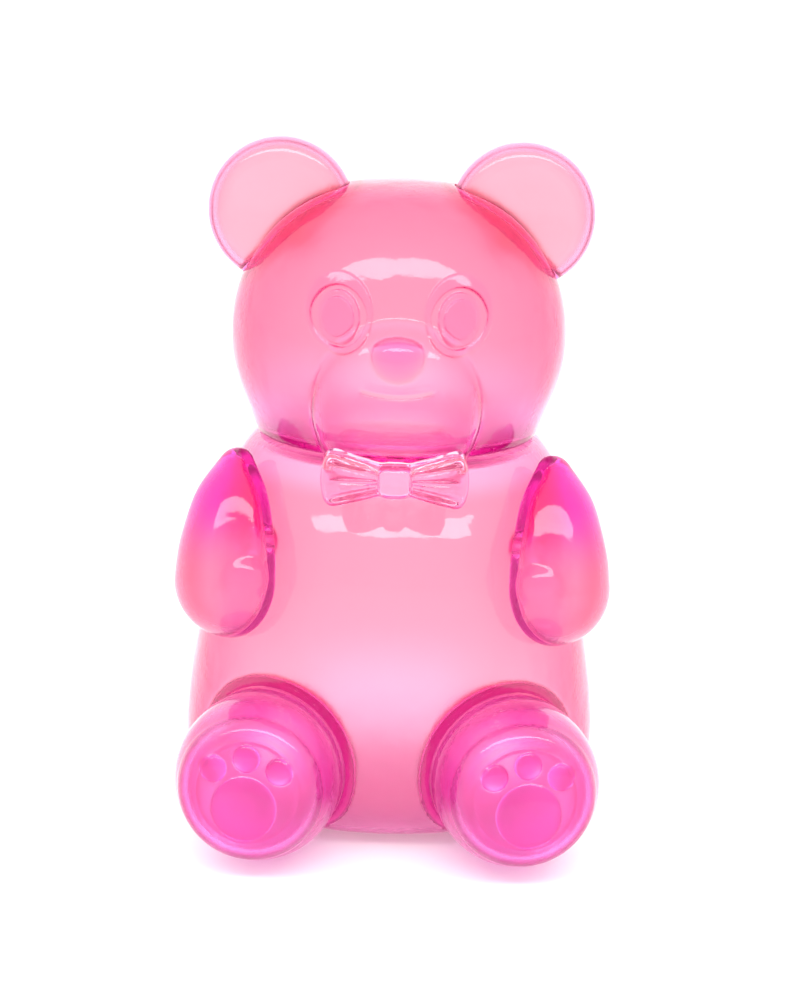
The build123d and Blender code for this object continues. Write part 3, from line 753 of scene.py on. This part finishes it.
def vinyl(name, tint, density, painted_light_fades=(), pads=None, painted_glow=PAINTED_GLOW):
    """Translucent soft vinyl: glossy wavy outside, matt inside, coloured through its depth.

    Each fade paints light and shade into the tint, turning it into another colour over a span in
    metres:
    up Z, toward the front along -Y, or away from the middle plane along X. Raised pads can be
    deeper.
    """
    mat = bpy.data.materials.new(name)
    mat.use_nodes = True
    nodes, links = mat.node_tree.nodes, mat.node_tree.links
    shader = nodes["Principled BSDF"]
    out = nodes["Material Output"]
    coord = nodes.new("ShaderNodeTexCoord")

    def noise(scale, detail, rough):
        n = nodes.new("ShaderNodeTexNoise")
        n.inputs["Scale"].default_value = scale
        n.inputs["Detail"].default_value = detail
        n.inputs["Roughness"].default_value = rough
        links.new(coord.outputs["Object"], n.inputs["Vector"])
        return n.outputs["Fac"]

    def attribute(key):
        n = nodes.new("ShaderNodeAttribute")
        n.attribute_name = key
        return n.outputs["Fac"]

    def blend(factor, first, second):
        n = nodes.new("ShaderNodeMix")
        n.data_type = "RGBA"
        links.new(factor, n.inputs["Factor"])
        links.new(first, n.inputs[6])
        n.inputs[7].default_value = (*second, 1)
        return n.outputs[2]

    ramp = nodes.new("ShaderNodeValToRGB")
    for stop, place, shade in zip(ramp.color_ramp.elements, MOTTLE_SPAN, (MOTTLE_DARK, 1.0)):
        stop.position = place
        stop.color = (*[c * shade for c in tint], 1)
    links.new(noise(*MOTTLE), ramp.inputs["Fac"])
    split = nodes.new("ShaderNodeSeparateXYZ")
    links.new(coord.outputs["Object"], split.inputs["Vector"])
    colour = ramp.outputs["Color"]
    # Painted light and shade: each fade blends the tint toward a lighter or deeper colour over its
    # span
    for axis, low, high, other in painted_light_fades:
        size = nodes.new("ShaderNodeMath")
        size.operation = "MULTIPLY" if axis == "-Y" else "ABSOLUTE"
        links.new(split.outputs[axis[-1]], size.inputs[0])
        size.inputs[1].default_value = -1.0
        rise = nodes.new("ShaderNodeMapRange")
        rise.interpolation_type = "SMOOTHSTEP"
        rise.inputs["From Min"].default_value = low
        rise.inputs["From Max"].default_value = high
        links.new(size.outputs["Value"], rise.inputs["Value"])
        colour = blend(rise.outputs["Result"], colour, other)
    if pads:
        colour = blend(attribute("pad"), colour, pads)
    links.new(colour, shader.inputs["Base Color"])

    spread = nodes.new("ShaderNodeMapRange")
    spread.inputs["To Min"].default_value = GLOSS * GLOSS_LOW
    spread.inputs["To Max"].default_value = GLOSS * GLOSS_HIGH
    links.new(noise(*HAZE), spread.inputs["Value"])
    skins = nodes.new("ShaderNodeMix")
    skins.data_type = "FLOAT"
    links.new(attribute("inner_skin"), skins.inputs["Factor"])
    links.new(spread.outputs["Result"], skins.inputs["A"])
    skins.inputs["B"].default_value = INSIDE_ROUGHNESS
    links.new(skins.outputs["Result"], shader.inputs["Roughness"])

    normal_in = None
    for kind, strength, height in WAVES:
        bump = nodes.new("ShaderNodeBump")
        bump.inputs["Strength"].default_value = strength
        bump.inputs["Distance"].default_value = height
        links.new(noise(*kind), bump.inputs["Height"])
        if normal_in:
            links.new(normal_in, bump.inputs["Normal"])
        normal_in = bump.outputs["Normal"]
    links.new(normal_in, shader.inputs["Normal"])

    shader.inputs["Transmission Weight"].default_value = 1.0
    shader.inputs["IOR"].default_value = VINYL_IOR
    # Painted glow: every piece emits a little pink light of its own
    shader.inputs["Emission Color"].default_value = PAINTED_GLOW_PINK
    shader.inputs["Emission Strength"].default_value = painted_glow
    volume = nodes.new("ShaderNodeVolumeAbsorption")
    volume.inputs["Color"].default_value = (*MAGENTA, 1)
    volume.inputs["Density"].default_value = density
    links.new(volume.outputs["Volume"], out.inputs["Volume"])
    return mat


MAGENTA = (1.0, 0.0, 0.85)
# Painted light: the lightest pink, on the lowest part of the head and the top of the torso, lifting
# the shade at the neck
PAINTED_LIGHT_NECK_PINK = (1.0, 0.96, 0.92)
# Painted light and shade on the head: lighter at the neck and over the front of the face, deeper
# above the neck and toward the sides
HEAD_VINYL = vinyl("clear_pink_vinyl", PAINTED_LIGHT_NECK_PINK, 150.0, [
    ("Z", 0.120, 0.134, (1.0, 0.67, 0.58)),
    ("-Y", 0.036, 0.042, (1.0, 0.92, 0.71)),
    ("X", 0.042, 0.054, (1.0, 0.48, 0.54))])
# Painted light and shade on the torso: lighter at the bottom, across the front of the belly and
# under the neck, deeper from the chest up and deepest toward the sides
BODY_VINYL = vinyl("belly_pink_vinyl", (1.0, 0.97, 0.92), 110.0, [
    ("Z", 0.006, 0.048, (1.0, 0.70, 0.62)),
    ("-Y", 0.036, 0.042, (1.0, 0.82, 0.76)),
    ("Z", 0.050, 0.072, (1.0, 0.64, 0.60)),
    ("Z", 0.101, 0.109, PAINTED_LIGHT_NECK_PINK),
    ("X", 0.044, 0.060, (1.0, 0.27, 0.46))])
EAR_VINYL = vinyl("pale_pink_vinyl", (1.0, 0.75, 0.67), 100.0)
# Painted shade on the arms: deeper toward the outer side and deepest over the top near the shoulder
ARM_VINYL = vinyl("arm_pink_vinyl", (1.0, 0.95, 0.98), 60.0, [
    ("X", 0.044, 0.058, (1.0, 0.39, 0.47)),
    ("Z", 0.080, 0.101, (1.0, 0.10, 0.60))])
# Painted light and shade on the legs: deep at the bottom, lighter higher up, deeper again toward the
# outer sides
LEG_VINYL = vinyl("leg_pink_vinyl", (1.0, 0.58, 0.93), 90.0, [
    ("Z", 0.010, 0.036, (1.0, 0.86, 1.0)),
    ("X", 0.046, 0.058, (1.0, 0.31, 0.65))], pads=(1.0, 0.30, 0.86), painted_glow=LEG_PAINTED_GLOW)
BOW_VINYL = vinyl("bow_pink_vinyl", (1.0, 0.92, 0.80), 20.0)

# ------------------------------------------------------------------ making the pieces
COARSE, FINE, FINEST, CUTS = ((0.9, 0.75, 0.5, 2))
# Kind, field, corners of the box it is sampled in, grid step, material, slot
SPECS = [
    ("torso", torso, (-64, -59, -2), (64, 59, 122), COARSE, BODY_VINYL, "clear_pink_vinyl"),
    ("head", head, (-52, -59, 112), (52, 49, 191), FINE, HEAD_VINYL, "clear_pink_vinyl"),
    ("ear", ear, (12, -9, 155), (59, 9, 202), FINE, EAR_VINYL, "pale_pink_vinyl"),
    ("arm", arm, (24, -53, 56), (66, -9, 115), FINE, ARM_VINYL, "deep_pink_vinyl"),
    ("leg", leg, (7, -79, -2), (62, -14, 52), FINE, LEG_VINYL, "deep_pink_vinyl"),
    ("bow_tie", bow, (-23, -61, 101), (23, -33, 123), FINEST, BOW_VINYL, "bow_pink_vinyl"),
]
RIDES = {"torso": "torso", "bow_tie": "torso",
         "head": "head", "left_ear": "head", "right_ear": "head",
         "left_arm": "left_arm", "right_arm": "right_arm",
         "left_leg": "left_leg", "right_leg": "right_leg"}
CARVINGS = {"head": (face_area, face_relief), "leg": (sole_area, sole_relief)}

for kind, make, low, high, h, material, slot in SPECS:
    verts, quads, inner = build(make, low, high, h)
    shape = verts, np.full(len(quads), 4), quads.ravel(), inner
    if kind in CARVINGS:
        shape = carve(*shape, *CARVINGS[kind], CUTS)
    pair = [("left_" + kind, False), ("right_" + kind, True)]
    for node, flip in [(kind, False)] if kind in RIDES else pair:
        obj = to_object(node + "_vinyl", *shape, flip=flip)
        obj.data.materials.append(material)
        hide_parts(node)
        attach(obj, RIDES[node])
        print(node, len(shape[0]), len(shape[1]))

# ------------------------------------------------------------------ floor and light
FLOOR_HALF, FLOOR_Z, FLOOR_TILES = 6.0, -0.0002, 12
PAPER_GREY, PAPER_GLOW, WORLD_LIGHT = 0.86, 0.2, 1.55


def plane(name, size, z, n):
    """A flat square grid of n by n quads for the floor."""
    xs = np.linspace(-size, size, n + 1)
    verts = [(x, y, z) for y in xs for x in xs]
    corners = [j * (n + 1) + i for j in range(n) for i in range(n)]
    faces = [(c, c + 1, c + n + 2, c + n + 1) for c in corners]
    mesh = bpy.data.meshes.new(name)
    mesh.from_pydata(verts, [], faces)
    mesh.update()
    obj = bpy.data.objects.new(name, mesh)
    bpy.context.scene.collection.objects.link(obj)
    return obj


floor = plane("studio_floor", FLOOR_HALF, FLOOR_Z, FLOOR_TILES)
paper = bpy.data.materials.new("white_paper")
paper.use_nodes = True
sheet = paper.node_tree.nodes["Principled BSDF"].inputs
sheet["Base Color"].default_value = (PAPER_GREY, PAPER_GREY, PAPER_GREY, 1)
sheet["Roughness"].default_value = 0.9
sheet["Specular IOR Level"].default_value = 0.1
sheet["Emission Color"].default_value = (1, 1, 1, 1)
sheet["Emission Strength"].default_value = PAPER_GLOW
floor.data.materials.append(paper)

world = bpy.data.worlds.new("studio")
bpy.context.scene.world = world
world.use_nodes = True
world.node_tree.nodes["Background"].inputs["Color"].default_value = (1, 1, 1, 1)
world.node_tree.nodes["Background"].inputs["Strength"].default_value = WORLD_LIGHT


def softbox(name, place, aim, size_x, size_y, watts):
    """An elliptical area light at a place, turned to face the aim."""
    light = bpy.data.lights.new(name, "AREA")
    light.shape = "ELLIPSE"
    light.size = size_x
    light.size_y = size_y
    light.energy = watts
    obj = bpy.data.objects.new(name, light)
    obj.location = place
    direction = Vector(aim) - Vector(place)
    obj.rotation_euler = direction.to_track_quat("-Z", "Y").to_euler()
    bpy.context.scene.collection.objects.link(obj)


softbox("key_box", (0.0, -0.75, 1.05), (0.0, 0.0, 0.1), 2.2, 0.26, 9.5)

# ------------------------------------------------------------------ camera
FOCAL_PX, FRAME_HEIGHT_PX, SENSOR = 2400.0, 1000.0, 36.0
DISTANCE = 0.712
ELEVATION = math.radians(14.6)
ROLL = math.radians(1.5)
TARGET = Vector((0.0016, (NECK_Y - 6.0) * MM, 0.0941))

camera_data = bpy.data.cameras.new("photo_camera")
camera = bpy.data.objects.new("photo_camera", camera_data)
bpy.context.scene.collection.objects.link(camera)
camera_data.sensor_fit = "VERTICAL"
camera_data.sensor_height = SENSOR
camera_data.lens = SENSOR * FOCAL_PX / FRAME_HEIGHT_PX
back = Vector((0.0, -math.cos(ELEVATION), math.sin(ELEVATION)))
camera.location = TARGET + back * DISTANCE
camera.rotation_mode = "QUATERNION"
look = (-back).to_track_quat("-Z", "Y")
camera.rotation_quaternion = look @ Quaternion((0.0, 0.0, 1.0), ROLL)
bpy.context.scene.camera = camera
bpy.context.scene.view_settings.view_transform = "Standard"
# Light passes many walls before it leaves the hollow castings
bpy.context.scene.cycles.max_bounces = bpy.context.scene.cycles.transmission_bounces = 32
